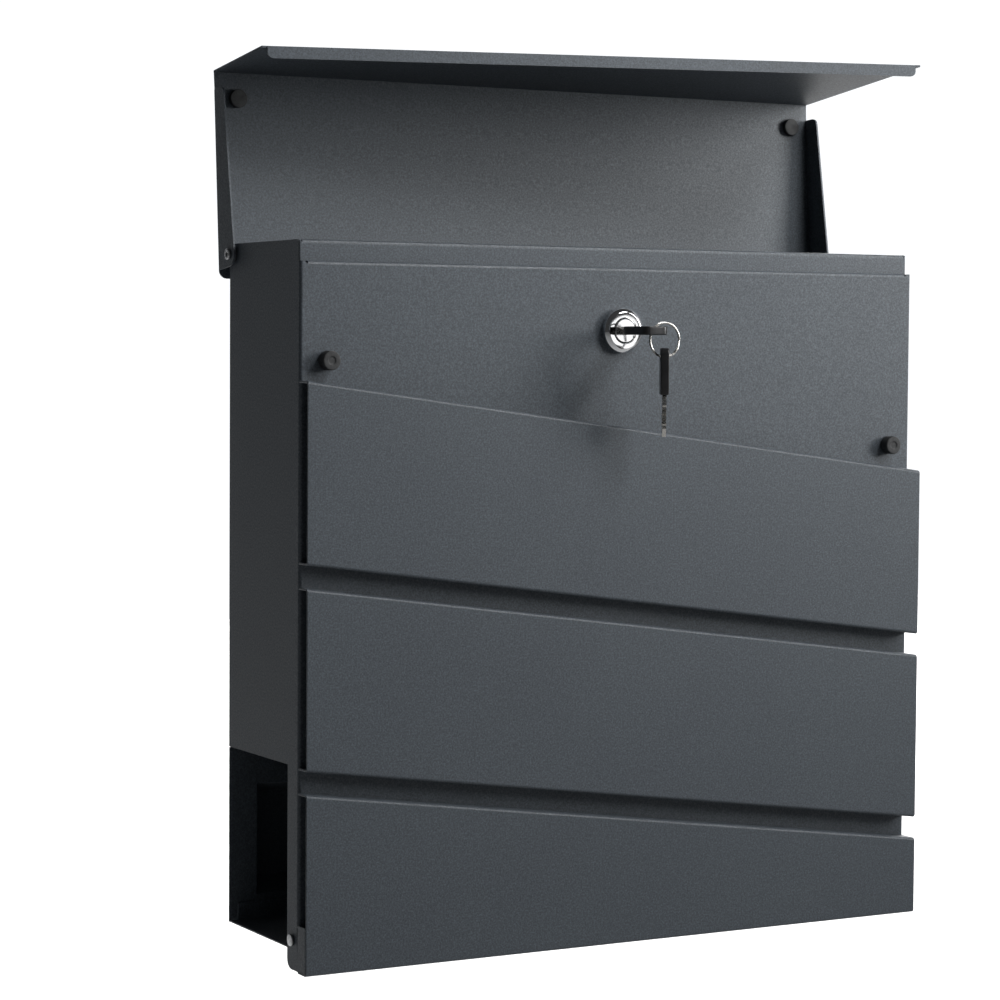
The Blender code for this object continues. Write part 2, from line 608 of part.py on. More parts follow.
# ---------------------------------------------------------------- lock
def lock_body_outline(clearance, length):
    """Round lock body with two flats, as a prism along local Z."""
    radius = LOCK_BODY_RADIUS + clearance
    flat = LOCK_BODY_FLAT + clearance
    edge = math.degrees(math.acos(flat / radius))
    outline = arc((0, 0), radius, edge, 180 - edge, 14) + arc((0, 0), radius, 180 + edge, 360 - edge, 14)
    return extrude_outline(outline, length)


def add_lock(door, chrome, zinc, brass):
    """Cam lock: housing and nut on the door, and the plug, cam and screw that turn."""
    axis = Vector((LOCK_X, 0, LOCK_HEIGHT))
    depth = LOCK_ROSETTE_HEIGHT
    rosette = [(0, -depth), (LOCK_ROSETTE_RADIUS - LOCK_ROSETTE_BEVEL, -depth),
               (LOCK_ROSETTE_RADIUS, LOCK_ROSETTE_BEVEL * 0.8 - depth), (LOCK_ROSETTE_RADIUS, 0), (0, 0)]
    housing = add_piece("lock_housing", turned(rosette, 48), chrome, door,
                        axis + Vector((0, ROSETTE_BACK, 0)) - door.location, ALONG_Y, True)
    barrel = add_cutter("lock_barrel", lock_body_outline(0, LOCK_BODY_LENGTH + 1 * MM), door,
                        axis + Vector((0, ROSETTE_BACK - 1 * MM, 0)) - door.location, ALONG_Y)
    join = housing.modifiers.new("Barrel", "BOOLEAN")
    join.operation = "UNION"
    join.solver = "EXACT"
    join.object = barrel
    bore = add_cutter("lock_bore", cylinder(PLUG_RADIUS + GAP, 60 * MM, 40), door, axis - door.location,
                      ALONG_Y)
    cut(housing, bore)

    nut_radius = NUT_FLAT / math.cos(math.radians(30))
    nut = add_piece("lock_nut", extrude_outline(arc((0, 0), nut_radius, 0, 300, 5), NUT_THICKNESS), zinc,
                    door, axis + Vector((0, DOOR_INSIDE + GAP, 0)) - door.location, ALONG_Y)
    nut_bore = add_cutter("lock_nut_bore", cylinder(LOCK_BODY_RADIUS + GAP, 60 * MM, 40), door,
                          axis - door.location, ALONG_Y)
    cut(nut, nut_bore)

    lock = make_empty("lock_axis", axis - door.location, door)
    collar = PLUG_RADIUS + PLUG_COLLAR_LIP
    plug_profile = [(0, PLUG_FRONT), (PLUG_RADIUS - 0.5 * MM, PLUG_FRONT),
                    (PLUG_RADIUS, PLUG_FRONT + 0.5 * MM), (PLUG_RADIUS, LOCK_BODY_END + GAP),
                    (collar, LOCK_BODY_END + GAP), (collar, PLUG_COLLAR_END),
                    (0, PLUG_COLLAR_END)]
    plug = add_piece("lock_plug", turned(plug_profile, 40), chrome, lock, (0, 0, 0), ALONG_Y, True)
    half = DRIVE_SIZE / 2
    drive = add_cutter("lock_drive", extrude_outline([(-half, -half), (half, -half), (half, half),
                                                      (-half, half)], CAM_BACK - PLUG_COLLAR_END + 1 * MM),
                       lock, (0, PLUG_COLLAR_END - 1 * MM, 0), ALONG_Y)
    join = plug.modifiers.new("Drive", "BOOLEAN")
    join.operation = "UNION"
    join.solver = "EXACT"
    join.object = drive
    keyway = add_cutter("lock_keyway", key_prism(KEY_BLADE_WIDTH + 2 * GAP, KEY_BLADE_THICKNESS + 2 * GAP,
                                                 KEY_BLADE_INSERTED + 3 * MM),
                        lock, (0, PLUG_FRONT - 2 * MM, 0), ALONG_Y)
    cut(plug, keyway)
    screw_hole = add_cutter("lock_screw_hole", cylinder(CAM_SCREW_RADIUS + GAP, 9 * MM), lock,
                            (0, CAM_BACK, 0), ALONG_Y)
    cut(plug, screw_hole)

    # The cam points to the left when the door is unlocked, and up behind the rail when locked.
    round_end = CAM_WIDTH / 2
    tip = round_end - 2 * MM
    outline = arc((0, 0), round_end, -90, 90, 12) + arc((tip - CAM_REACH, 0), tip, 90, 270, 8)
    cam = add_piece("lock_cam", extrude_outline(outline, CAM_SHEET), zinc, lock, (0, CAM_FRONT, 0),
                    ALONG_Y)
    cam_half = half + GAP
    square = add_cutter("lock_cam_square", extrude_outline([(-cam_half, -cam_half), (cam_half, -cam_half),
                                                            (cam_half, cam_half), (-cam_half, cam_half)],
                                                           10 * MM),
                        lock, (0, CAM_FRONT - 5 * MM, 0), ALONG_Y)
    cut(cam, square)

    washer_front = CAM_BACK + GAP
    washer_back = washer_front + CAM_WASHER
    washer_profile = [(CAM_SCREW_RADIUS + GAP, washer_front), (DRIVE_SIZE * 0.78, washer_front),
                      (DRIVE_SIZE * 0.78, washer_back), (CAM_SCREW_RADIUS + GAP, washer_back)]
    add_piece("cam_washer", turned(washer_profile, 32), zinc, lock, (0, 0, 0), ALONG_Y, True)
    head = washer_back + GAP
    screw_profile = [(0, CAM_BACK - 4 * MM), (CAM_SCREW_RADIUS, CAM_BACK - 4 * MM),
                     (CAM_SCREW_RADIUS, head), (CAM_SCREW_HEAD, head), (CAM_SCREW_HEAD, head + 1.4 * MM),
                     (CAM_SCREW_HEAD - 1 * MM, head + 2.2 * MM), (0, head + 2.2 * MM)]
    screw = add_piece("cam_screw", turned(screw_profile, 28), brass, lock, (0, 0, 0), ALONG_Y, True)
    for label, turn in (("a", 0), ("b", math.radians(90))):
        slot = add_cutter("cam_screw_slot_" + label, key_prism(4.6 * MM, 0.9 * MM, 3 * MM), lock,
                          (0, head + 1.0 * MM, 0), (math.radians(-90), turn, 0))
        cut(screw, slot)
    return lock


# ---------------------------------------------------------------- keys
def key_prism(width, thickness, length):
    """A bar centred on local Z, with its width along local X, starting at the origin."""
    half, thick = width / 2, thickness / 2
    return extrude_outline([(-half, -thick), (half, -thick), (half, thick), (-half, thick)], length)


def key_blade_outline():
    """Blade seen on its flat side: teeth on one edge, a pointed tip and a plain tang."""
    half = KEY_BLADE_WIDTH / 2
    reach = KEY_SHOULDER + KEY_BLADE_INSERTED
    tooth = 2.4 * MM
    points = [(-half + 0.4 * MM, -KEY_TANG), (half - 0.4 * MM, -KEY_TANG), (half, 0.8 * MM)]
    start = KEY_SHOULDER * 0.75
    count = int((reach - start - 4 * MM) / tooth)
    depths = (0.5, 1.3, 0.8, 1.6, 0.6, 1.2, 0.9)
    for number in range(count):
        depth = depths[number % len(depths)] * MM
        points.append((half, start + number * tooth))
        points.append((half - depth, start + (number + 0.35) * tooth))
        points.append((half - depth, start + (number + 0.65) * tooth))
    points += [(half, start + count * tooth), (0.6 * MM, reach), (-0.6 * MM, reach),
               (-half, reach - 3 * MM), (-half, 0.8 * MM)]
    return points


def add_key(prefix, steel, plastic, holder, hole_to):
    """One key under an empty at its ring hole; local +Y runs from the hole to the blade's tip.

    The head lies flat in local XY. hole_to is where the hole sits on the holder.
    """
    shoulder = KEY_HEAD_LENGTH - KEY_HOLE_IN
    blade = extrude_outline(key_blade_outline(), KEY_BLADE_THICKNESS)
    add_piece(prefix + "_blade", blade, steel, holder, hole_to[0] @ Vector((0, shoulder,
              -KEY_BLADE_THICKNESS / 2)), hole_to[1])
    half = KEY_HEAD_WIDTH / 2
    corner = 3.2 * MM
    shoulder_half = half - 1.6 * MM
    end = -KEY_HOLE_IN
    outline = arc((half - corner, end + corner), corner, -90, 0, 5)
    outline += [(half, shoulder - 6 * MM), (shoulder_half, shoulder), (-shoulder_half, shoulder),
                (-half, shoulder - 6 * MM)]
    outline += arc((corner - half, end + corner), corner, 180, 270, 5)
    head = add_piece(prefix + "_head", extrude_outline(outline, KEY_HEAD_THICKNESS), plastic, holder,
                     hole_to[0] @ Vector((0, 0, -KEY_HEAD_THICKNESS / 2)), hole_to[1])
    softened = head.modifiers.new("Softened edges", "BEVEL")
    softened.width = 0.6 * MM
    softened.segments = 2
    softened.limit_method = "ANGLE"
    softened.angle_limit = math.radians(60)
    tang_slot = add_cutter(prefix + "_tang_slot",
                           key_prism(KEY_BLADE_WIDTH + GAP, KEY_BLADE_THICKNESS + 2 * GAP,
                                     KEY_TANG + 4 * MM),
                           holder, hole_to[0] @ Vector((0, shoulder - KEY_TANG - GAP, 0)),
                           (hole_to[0].to_3x3() @ Matrix.Rotation(math.radians(-90), 3, "X")).to_euler())
    ring_hole = add_cutter(prefix + "_ring_hole", cylinder(KEY_HOLE_RADIUS, 12 * MM), holder,
                           hole_to[0] @ Vector((0, 0, 0)), hole_to[1])
    cut(head, tang_slot)
    cut(head, ring_hole)


def add_keys(lock, nickel, plastic):
    """Key in the lock, split ring through its head, and a spare key hanging from the ring."""
    key = make_empty("key", KEY_HOLE - Vector((LOCK_X, 0, LOCK_HEIGHT)), lock)
    upright = Matrix.Identity(4)
    add_key("key", nickel, plastic, key, (upright, upright.to_euler()))

    ring = make_empty("ring", (0, 0, 0), key)
    bm = bmesh.new()
    circle = arc((RING_RADIUS, 0), RING_WIRE, 0, 360 - 45, 7)
    verts = [bm.verts.new((x, 0, z)) for x, z in circle]
    edges = [bm.edges.new((verts[step], verts[(step + 1) % len(verts)])) for step in range(len(verts))]
    bmesh.ops.spin(bm, geom=verts + edges, cent=(0, 0, 0), axis=(0, 0, 1), angle=math.tau, steps=48,
                   use_merge=True)
    bmesh.ops.remove_doubles(bm, verts=bm.verts, dist=0.001 * MM)
    add_piece("key_ring", bm, nickel, ring, RING_CENTRE - KEY_HOLE, ALONG_Y, True)

    spare = make_empty("spare_key", RING_CENTRE - KEY_HOLE, ring)
    # The spare hangs with its tip down, turned about its own length.
    down = Matrix.Rotation(SPARE_TURN, 4, "Z") @ Matrix.Rotation(math.radians(90), 4, "Y")
    down = down @ Matrix.Rotation(math.radians(-90), 4, "Z")
    hang = Matrix.Translation(SPARE_HOLE - RING_CENTRE) @ down
    add_key("spare_key", nickel, plastic, spare, (hang, down.to_euler()))


# ---------------------------------------------------------------- lid
def lid_flange_outline():
    """Side flange of the lid, as (y, z) about the pivot, with its ear round the rivet."""
    ear_foot = -LID_EAR_RADIUS - 1 * MM
    top = LID_PANEL - LID_FLANGE_START
    corner = 4 * MM
    front_top = LID_OUTER - LID_FLANGE_TOP
    outline = [(LID_OUTER, ear_foot), (LID_OUTER, top)]
    outline += arc((front_top + corner, top - corner), corner, 90, 180, 4)
    outline += arc((0, 0), LID_EAR_RADIUS, 172, 262, 8)
    return outline


def add_lid(steel, lid):
    """Lid of one folded sheet: a panel with side flanges, a slanting front flap and its lip."""
    ear_foot, flange_top = (lid_flange_outline()[number][1] for number in (0, 1))
    corner = LID_TAIL + ear_foot
    tail_left = arc((corner - LID_HALF, corner - LID_TAIL), corner, 180, 270, 5)
    tail_right = arc((LID_HALF - corner, corner - LID_TAIL), corner, 270, 360, 5)
    panel = [(x, LID_OUTER, z) for x, z in tail_left + tail_right]
    panel += [(LID_HALF, LID_OUTER, flange_top), (LID_HALF, LID_OUTER, LID_BEND_UP),
              (-LID_HALF, LID_OUTER, LID_BEND_UP), (-LID_HALF, LID_OUTER, flange_top)]
    forward = Vector((0, -math.cos(LID_SHUT_FALL), math.sin(LID_SHUT_FALL)))
    inward = Vector((0, -math.sin(LID_SHUT_FALL), -math.cos(LID_SHUT_FALL)))

    def flap_edge(x):
        return Vector((x, LID_OUTER, LID_BEND_UP)) + forward * lid_flap_length(x)

    lip_half = LID_HALF - LID_LIP_INSET
    flap = [Vector((-LID_HALF, LID_OUTER, LID_BEND_UP)), Vector((LID_HALF, LID_OUTER, LID_BEND_UP)),
            flap_edge(LID_HALF), flap_edge(lip_half), flap_edge(-lip_half), flap_edge(-LID_HALF)]
    round_end = 3 * MM
    lip = [flap_edge(lip_half), flap_edge(-lip_half)]
    lip += [flap_edge(-lip_half + round_end - x) + inward * (LID_LIP - round_end + z)
            for x, z in arc((0, 0), round_end, 0, 90, 4)]
    lip += [flap_edge(lip_half - round_end + x) + inward * (LID_LIP - round_end + z)
            for x, z in arc((0, 0), round_end, 90, 0, 4)]
    flanges = [[(side * LID_HALF, y, z) for y, z in lid_flange_outline()] for side in (-1, 1)]
    piece = add_sheet("lid", [panel, flap, lip, *flanges], steel, lid, outward=(0, 1, 0))
    for side in (-1, 1):
        hole = add_cutter("lid_hole_%d" % (side > 0), cylinder(LID_RIVET_RADIUS + GAP, 8 * MM), lid,
                          (side * LID_HALF, 0, 0), ALONG_X)
        cut(piece, hole)
    return piece


def add_lid_bumper(label, side, rubber, lid):
    """Stick-on rubber bumper inside the lid, which lands on the rail."""
    along = LID_PANEL - LID_BUMPER_FROM_BEND
    rail_clear = (LID_PIVOT.z - BODY_HEIGHT + LID_OFFSET * math.cos(LID_SHUT_FALL)
                  - along * math.sin(LID_SHUT_FALL))
    height = rail_clear - GAP - BUMPER_TOUCH
    edge = 0.5 * MM
    profile = [(0, 0), (BUMPER_RADIUS, 0), (BUMPER_RADIUS, height - edge), (BUMPER_RADIUS - edge, height),
               (0, height)]
    place = (side * (LID_HALF - LID_BUMPER_IN - BUMPER_RADIUS), LID_OFFSET - GAP, along)
    return add_piece("lid_bumper_" + label, turned(profile, 28), rubber, lid, place,
                     (math.radians(90), 0, 0), True)


# ---------------------------------------------------------------- rivets
def add_rivet(name, side, inner, outer, radius, head, hollow, steel, body, location):
    """Rivet along X from its inner head to its outer head; hollow is a dimple's radius."""
    flare = 0.4 * MM
    profile = [(0, inner - RIVET_HEAD_HEIGHT), (head - flare, inner - RIVET_HEAD_HEIGHT),
               (head, inner - RIVET_HEAD_HEIGHT + flare), (head, inner), (radius, inner),
               (radius, outer), (head, outer), (head, outer + RIVET_HEAD_HEIGHT - flare),
               (head - flare, outer + RIVET_HEAD_HEIGHT)]
    if hollow:
        profile += [(hollow + 0.2 * MM, outer + RIVET_HEAD_HEIGHT), (hollow, outer + RIVET_HEAD_HEIGHT
                    - 0.2 * MM), (hollow, outer - 1.2 * MM), (0, outer - 1.2 * MM)]
    else:
        profile.append((0, outer + RIVET_HEAD_HEIGHT))
    turn = (0, math.radians(90 * side), 0)
    return add_piece(name, turned(profile, 24), steel, body, (0, location[0], location[1]), turn, True)


def add_rivets(zinc, nylon, body):
    """Lid and door rivets, and the washers between the walls and the lid."""
    for label, side in (("left", -1), ("right", 1)):
        add_rivet("lid_rivet_" + label, side, INSIDE, LID_HALF + GAP, LID_RIVET_RADIUS, LID_RIVET_HEAD,
                  1.1 * MM, zinc, body, (LID_PIVOT.y, LID_PIVOT.z))
        bracket_in = HALF_WIDTH - SHEET - BRACKET_SIDE_GAP - BRACKET_SHEET
        add_rivet("door_rivet_" + label, side, bracket_in - GAP, HALF_WIDTH + GAP, DOOR_RIVET_RADIUS,
                  DOOR_RIVET_HEAD, 0, zinc, body, (HINGE_BACK, HINGE_UP))
        low, high = HALF_WIDTH + GAP / 2, HALF_WIDTH + LID_CLEARANCE - GAP / 2
        washer = [(LID_RIVET_RADIUS + GAP, low), (LID_EAR_RADIUS - 1.6 * MM, low),
                  (LID_EAR_RADIUS - 1.6 * MM, high), (LID_RIVET_RADIUS + GAP, high)]
        add_piece("lid_washer_" + label, turned(washer, 28), nylon, body,
                  (0, LID_PIVOT.y, LID_PIVOT.z), (0, math.radians(90 * side), 0), True)


# ---------------------------------------------------------------- assembly
def build():
    clear_scene()
    steel = make_material("powder_coated_steel", (0.055, 0.062, 0.072), 0.55, 0.0)
    rubber = make_material("black_rubber", (0.012, 0.012, 0.012), 0.75, 0.0)
    chrome = make_material("chrome", (0.78, 0.78, 0.78), 0.08, 1.0)
    zinc = make_material("zinc_plated_steel", (0.62, 0.62, 0.6), 0.35, 1.0)
    brass = make_material("brass", (0.7, 0.5, 0.22), 0.3, 1.0)
    nickel = make_material("nickel", (0.7, 0.69, 0.66), 0.2, 1.0)
    plastic = make_material("black_plastic", (0.015, 0.015, 0.017), 0.25, 0.0)
    nylon = make_material("nylon", (0.05, 0.05, 0.05), 0.5, 0.0)

    body = make_empty("mailbox", ORIGIN)
    add_side_wall("side_wall_left", -1, steel, body)
    add_side_wall("side_wall_right", 1, steel, body)
    add_back_panel(steel, body)
    add_top_rail(steel, body)
    add_letter_shelf(steel, body)
    add_newspaper_floor(steel, body)
    add_rivets(zinc, nylon, body)

    door = make_empty("door", (0, HINGE_BACK, HINGE_UP), body)
    add_door_panel(steel, door)
    for number, name in enumerate(SLATS):
        add_slat(name, number, steel, door)
    add_hinge_bracket("hinge_bracket_left", -1, zinc, door)
    add_hinge_bracket("hinge_bracket_right", 1, zinc, door)
    for label, x, z in door_bumper_places():
        add_door_bumper(label, x, z, rubber, door)
    lock = add_lock(door, chrome, zinc, brass)
    add_keys(lock, nickel, plastic)

    lid = make_empty("lid_axis", LID_PIVOT, body, (-LID_LEAN, 0, 0))
    add_lid(steel, lid)
    add_lid_bumper("left", -1, rubber, lid)
    add_lid_bumper("right", 1, rubber, lid)


build()
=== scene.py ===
"""Looks of the wall mounted mailbox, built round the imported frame.

Lengths are in metres. The folded sheets are refined copies of the frame's solids, with
rounded cut edges. The lock, its keys, the split ring, the rivets and the bumpers are made
here in finer detail, inside the places that the frame gives them. Two small tabs in the ends
of the lowest slat are added.
"""

import json
import math

import bmesh
import bpy
from mathutils import Matrix, Vector


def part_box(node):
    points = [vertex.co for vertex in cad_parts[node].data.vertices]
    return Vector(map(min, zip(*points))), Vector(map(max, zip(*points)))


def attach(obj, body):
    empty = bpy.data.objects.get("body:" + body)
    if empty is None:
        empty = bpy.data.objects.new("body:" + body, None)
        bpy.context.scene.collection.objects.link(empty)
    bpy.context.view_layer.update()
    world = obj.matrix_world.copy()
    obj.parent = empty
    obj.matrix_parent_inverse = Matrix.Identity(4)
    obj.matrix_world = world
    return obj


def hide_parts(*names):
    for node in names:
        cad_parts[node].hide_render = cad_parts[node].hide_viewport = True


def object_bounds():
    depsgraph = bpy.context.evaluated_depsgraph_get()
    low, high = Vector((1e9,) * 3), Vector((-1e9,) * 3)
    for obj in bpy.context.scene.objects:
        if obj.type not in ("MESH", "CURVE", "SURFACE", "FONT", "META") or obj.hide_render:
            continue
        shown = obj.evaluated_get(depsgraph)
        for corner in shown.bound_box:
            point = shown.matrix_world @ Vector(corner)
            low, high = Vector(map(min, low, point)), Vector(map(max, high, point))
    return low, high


MM = 0.001

# ---------------------------------------------------------------- camera and studio
CAMERA_LENS = 104.2              # millimetres
CAMERA_SENSOR = 36               # millimetres
CAMERA_PLACE = Vector((-0.7879, -1.4056, 0.0807))
CAMERA_YAW = math.radians(28.84)
CAMERA_PITCH = math.radians(-2.97)
CAMERA_ROLL = math.radians(0.40)
FLOOR_BELOW = 750 * MM           # the mailbox hangs, well above the studio's floor
FLOOR_HALF = 9.0
ROOM_FRONT = 0.04                # brightness of the room round the backdrop
ROOM_BACK = 1.1                  # brightness of the backdrop
BACKDROP_FULL = math.radians(20)     # off the camera's heading: full brightness up to here,
BACKDROP_END = math.radians(52)      # and from here on the room's

# ---------------------------------------------------------------- rounded edges
SHEET_EDGE = 0.28 * MM           # cut edges of coated sheet
STAMPED_EDGE = 0.2 * MM
FINE_EDGE = 0.15 * MM            # plug and washers
SCREW_EDGE = 0.12 * MM
EDGE_STEPS = 2
SHARPEST_BEND = math.radians(50)     # a fold's facets meet at less than this, cut edges at more
SAME_POINT = 0.002 * MM
SAME_PLANE = math.radians(0.4)

# ---------------------------------------------------------------- sizes of the finer pieces
TAB_SHEET = 0.9 * MM
TAB_HEIGHT = 23 * MM
TAB_AIR = 0.1 * MM
SLAT_WALL = 1.2 * MM             # the slat's own sheet, with its air

LOCK_ROSETTE_RADIUS = 11.6 * MM
LOCK_ROSETTE_HEIGHT = 4.6 * MM
LOCK_FACE_RADIUS = 9.6 * MM      # flat face, inside the slanted rim
LOCK_RIM_DEPTH = 1.6 * MM
LOCK_BODY_RADIUS = 9.5 * MM
LOCK_BODY_FLAT = 8.2 * MM        # axis to each of the body's two flats
LOCK_BODY_STEP = 0.05 * MM       # the flats begin this far behind the rosette
LOCK_BORE = 6.7 * MM
LOCK_EDGE = 0.35 * MM
LOCK_END_CHAMFER = 0.4 * MM

DOOR_FACE = -107 * MM            # the wall is at zero
BUMPER_GAP = 0.3 * MM            # bumper head to door face
BUMPER_STEM = 2.0 * MM
BUMPER_ROUNDING = 0.8 * MM
BULB_LIP = 0.9 * MM
BULB_LENGTH = 1.4 * MM
BULB_TIP = 1.2 * MM
DIMPLE_DEPTH = 0.45 * MM
DIMPLE_RADIUS = 1.7 * MM
DIMPLE_RIM = 2.3 * MM
PAD_ROUNDING = 0.7 * MM
PAD_HOLLOW = 0.92                # height at the pad's middle, against its rim
PAD_HOLLOW_RADIUS = 0.35         # against the pad's radius
LID_LEAN = math.radians(4)       # the open lid's panel leans back

RIVET_HEAD = 1.2 * MM
RIVET_ROUNDING = 0.45 * MM
LID_RIVET_PIN = 1.7 * MM
LID_RIVET_BORE = 1.25 * MM
LID_RIVET_BORE_DEPTH = 2.4 * MM
DOOR_RIVET_PIN = 1.9 * MM

BLADE_THICKNESS = 2.0 * MM
BLADE_WIDTH = 7.4 * MM
BLADE_REACH = 21.7 * MM
BLADE_TANG = 12 * MM             # part of the blade inside the head
BLADE_TANG_INSET = 0.4 * MM
BLADE_SHOULDER = 0.8 * MM
BLADE_SLOPE = 3 * MM
BLADE_TIP = 0.6 * MM
GROOVE_DEPTH = 0.45 * MM
GROOVE_WALL = 0.2 * MM           # least metal beside a groove
FIRST_TOOTH = 5.4 * MM
TOOTH_PITCH = 2.4 * MM
TOOTH_DEPTHS = (0.5 * MM, 1.3 * MM, 0.8 * MM, 1.6 * MM, 0.6 * MM)
KEY_HOLE_TO_SHOULDER = 19.5 * MM
SPARE_TURN = math.radians(-29)   # the spare key faces to the right of the front

WIRE_WIDTH = 0.95 * MM
WIRE_THICKNESS = 0.5 * MM
WIRE_TURNS = 1.97
WIRE_STEPS = 150
WIRE_SIDES = 8
WIRE_CORNER = 0.62               # above a half, so that the eight-sided section gets flat sides
WIRE_END_STEPS = 3
WIRE_END_THICKNESS = 0.35        # against the full thickness
WIRE_CROSSING = math.radians(40)

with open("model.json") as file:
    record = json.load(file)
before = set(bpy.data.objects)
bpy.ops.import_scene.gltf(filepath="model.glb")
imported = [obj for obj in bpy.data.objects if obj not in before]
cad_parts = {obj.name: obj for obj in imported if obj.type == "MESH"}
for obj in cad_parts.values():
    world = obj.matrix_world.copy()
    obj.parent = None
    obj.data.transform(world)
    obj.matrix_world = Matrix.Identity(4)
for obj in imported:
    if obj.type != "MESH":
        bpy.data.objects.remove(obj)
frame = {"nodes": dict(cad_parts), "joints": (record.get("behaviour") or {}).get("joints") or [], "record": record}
cad_box = [list(corner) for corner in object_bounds()]
joint_at = {joint["name"]: Vector(joint["pos_m"]) for joint in frame["joints"]
            if "pos_m" in joint}
body_of_node = {node: body for body, nodes in frame["record"]["behaviour"]["bodies"].items()
                for node in nodes}
slot_of_node = {part["node"]: part["material_slot"] for part in frame["record"]["subparts"]}


# ---------------------------------------------------------------- materials
class Tree:
    """Short names for a material's nodes and links."""

    def __init__(self, name):
        self.material = bpy.data.materials.new(name)
        self.material.use_nodes = True
        self.nodes = self.material.node_tree.nodes
        self.links = self.material.node_tree.links
        self.shader = self.nodes["Principled BSDF"]
        self.coords = self.nodes.new("ShaderNodeTexCoord").outputs["Object"]

    def link(self, output, socket):
        self.links.new(output, socket)

    def noise(self, scale, detail=2.0, roughness=0.5, stretch=(1, 1, 1)):
        mapping = self.nodes.new("ShaderNodeMapping")
        mapping.inputs["Scale"].default_value = stretch
        self.link(self.coords, mapping.inputs["Vector"])
        node = self.nodes.new("ShaderNodeTexNoise")
        node.inputs["Scale"].default_value = scale
        node.inputs["Detail"].default_value = detail
        node.inputs["Roughness"].default_value = roughness
        self.link(mapping.outputs["Vector"], node.inputs["Vector"])
        return node.outputs["Fac"]

    def cells(self, scale):
        node = self.nodes.new("ShaderNodeTexVoronoi")
        node.inputs["Scale"].default_value = scale
        self.link(self.coords, node.inputs["Vector"])
        return node.outputs["Color"]

    def ramp(self, value, stops):
        node = self.nodes.new("ShaderNodeValToRGB")
        while len(node.color_ramp.elements) < len(stops):
            node.color_ramp.elements.new(0.5)
        for element, (place, colour) in zip(node.color_ramp.elements, stops):
            element.position = place
            element.color = (*colour, 1)
        self.link(value, node.inputs["Fac"])
        return node.outputs["Color"]

    def spread(self, value, low, high, bottom, top):
        node = self.nodes.new("ShaderNodeMapRange")
        for name, number in (("From Min", low), ("From Max", high), ("To Min", bottom),
                             ("To Max", top)):
            node.inputs[name].default_value = number
        self.link(value, node.inputs["Value"])
        return node.outputs["Result"]

    def multiply(self, share, first, second):
        node = self.nodes.new("ShaderNodeMix")
        node.data_type = "RGBA"
        node.blend_type = "MULTIPLY"
        node.inputs["Factor"].default_value = share
        self.link(first, node.inputs["A"])
        self.link(second, node.inputs["B"])
        return node.outputs["Result"]

    def bump(self, height, distance, strength=1.0, below=None):
        node = self.nodes.new("ShaderNodeBump")
        node.inputs["Distance"].default_value = distance
        node.inputs["Strength"].default_value = strength
        self.link(height, node.inputs["Height"])
        if below is not None:
            self.link(below, node.inputs["Normal"])
        return node.outputs["Normal"]

    def finish(self, colour, roughness, normal, metallic):
        self.link(colour, self.shader.inputs["Base Color"])
        self.link(roughness, self.shader.inputs["Roughness"])
        self.link(normal, self.shader.inputs["Normal"])
        self.shader.inputs["Metallic"].default_value = metallic
        return self.material


def shade(colour, share):
    return tuple(channel * share for channel in colour)


def powder_coat(name, colour, gloss):
    """Fine-textured polyester powder: a pebbled grain, a lazy orange peel and faint mottling."""
    tree = Tree(name)
    grain = tree.noise(1100, 3.0, 0.62)
    mottle = tree.noise(14, 3.0, 0.5)
    speckled = tree.ramp(grain, [(0.30, shade(colour, 0.62)), (0.50, colour),
                                 (0.70, shade(colour, 1.55))])
    cloudy = tree.ramp(mottle, [(0.35, (0.94, 0.94, 0.95)), (0.65, (1.0, 1.0, 1.0))])
    body = tree.multiply(1.0, speckled, cloudy)
    roughness = tree.spread(grain, 0.3, 0.7, gloss + 0.07, gloss - 0.07)
    peel = tree.bump(tree.noise(260, 2.0, 0.5), 0.05 * MM, 0.35)
    pebbles = tree.bump(grain, 0.06 * MM, 0.75, peel)
    return tree.finish(body, roughness, pebbles, 0.0)


def polished_chrome():
    """Bright plating with fine polishing marks and a breath of haze."""
    tree = Tree("polished_chrome")
    haze = tree.noise(90, 3.0, 0.6)
    hairs = tree.noise(700, 2.0, 0.5, (1, 1, 9))
    colour = tree.ramp(haze, [(0.3, (0.74, 0.75, 0.76)), (0.7, (0.86, 0.86, 0.87))])
    roughness = tree.spread(haze, 0.35, 0.7, 0.05, 0.13)
    return tree.finish(colour, roughness, tree.bump(hairs, 0.002 * MM, 0.25), 1.0)


def zinc_plate(name, colour):
    """Dull plated steel: small crystal patches and handling marks."""
    tree = Tree(name)
    cells = tree.cells(900)
    patches = tree.ramp(cells, [(0.2, shade(colour, 0.82)), (0.8, shade(colour, 1.08))])
    stains = tree.ramp(tree.noise(160, 4.0, 0.6), [(0.35, (0.82, 0.81, 0.79)), (0.6, (1, 1, 1))])
    body = tree.multiply(0.8, patches, stains)
    roughness = tree.spread(tree.noise(420, 3.0, 0.6), 0.3, 0.7, 0.24, 0.46)
    return tree.finish(body, roughness, tree.bump(cells, 0.008 * MM, 0.4), 1.0)


def brushed_metal(name, colour, stretch):
    """Rolled stock and wire, with fine lines along the axis that has the smallest stretch."""
    tree = Tree(name)
    lines = tree.noise(900, 3.0, 0.55, stretch)
    tone = tree.ramp(lines, [(0.3, shade(colour, 0.84)), (0.7, shade(colour, 1.06))])
    wear = tree.ramp(tree.noise(240, 3.0, 0.6), [(0.4, (0.86, 0.84, 0.8)), (0.62, (1, 1, 1))])
    body = tree.multiply(0.7, tone, wear)
    roughness = tree.spread(lines, 0.3, 0.7, 0.16, 0.34)
    return tree.finish(body, roughness, tree.bump(lines, 0.006 * MM, 0.4), 1.0)


